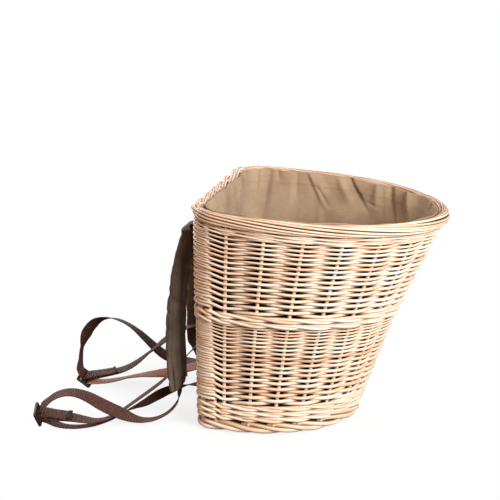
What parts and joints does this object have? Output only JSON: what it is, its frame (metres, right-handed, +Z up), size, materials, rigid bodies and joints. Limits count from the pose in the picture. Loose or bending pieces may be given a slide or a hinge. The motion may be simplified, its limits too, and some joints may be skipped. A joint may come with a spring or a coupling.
{
  "type": "wicker_back_basket",
  "caption": "Willow back basket, D-shaped in plan with a flat back and flared front, a cotton liner, and padded shoulder straps on webbing with sliders.",
  "frame": {"origin": "on the foot border's flat underside, under the middle of the flat back", "axes": "+X from the flat back to the rounded front, +Y to the wearer's right, +Z up"},
  "size_m": [0.6918, 0.4181, 0.4024],
  "materials": {
    "willow": "peeled willow, satin",
    "liner_cotton": "woven cotton, matte",
    "pad_cotton": "waxed cotton, matte",
    "foam": "open-cell foam",
    "webbing": "ribbed cotton webbing",
    "slider_plastic": "moulded, satin"
  },
  "bodies": {
    "basket": {"foot_border": "willow", "upsett_wale": "willow", "lower_siding": "willow", "mid_wale": "willow", "upper_siding": "willow", "top_wale": "willow", "rim_border": "willow", "base_weave": "willow", "base_sticks": "willow", "side_stakes": "willow", "back_stakes": "willow", "left_corner_post": "willow", "right_corner_post": "willow", "liner": "liner_cotton", "liner_hem": "liner_cotton", "left_pad_anchor": "webbing", "right_pad_anchor": "webbing", "left_strap_anchor": "webbing", "right_strap_anchor": "webbing", "left_strap_front": "webbing", "right_strap_front": "webbing", "left_strap_return": "webbing", "right_strap_return": "webbing", "left_strap_lower": "webbing", "right_strap_lower": "webbing"},
    "left_pad": {"left_pad_cover": "pad_cotton", "left_pad_foam": "foam", "left_pad_hanger": "webbing"},
    "right_pad": {"right_pad_cover": "pad_cotton", "right_pad_foam": "foam", "right_pad_hanger": "webbing"},
    "left_slide": {"left_slider": "slider_plastic", "left_strap_tail": "webbing"},
    "right_slide": {"right_slider": "slider_plastic", "right_strap_tail": "webbing"}
  },
  "joints": [
    {"name": "left_pad_swing", "type": "hinge", "parent": "basket", "child": "left_pad", "pos_m": [-0.01741, -0.095, 0.35799], "axis": [0, 1, 0], "range_deg": [-6, 110], "deforming": ["left_strap_front"]},
    {"name": "right_pad_swing", "type": "hinge", "parent": "basket", "child": "right_pad", "pos_m": [-0.01741, 0.095, 0.35799], "axis": [0, 1, 0], "range_deg": [-6, 110], "deforming": ["right_strap_front"]},
    {"name": "left_slider_slide", "type": "slide", "parent": "basket", "child": "left_slide", "axis": [0.97, 0.243, 0], "range_m": [0, 0.06], "deforming": ["left_strap_front", "left_strap_return", "left_strap_lower"]},
    {"name": "right_slider_slide", "type": "slide", "parent": "basket", "child": "right_slide", "axis": [0.9404, 0.3401, 0], "range_m": [0, 0.06], "deforming": ["right_strap_front", "right_strap_return", "right_strap_lower"]}
  ]
}
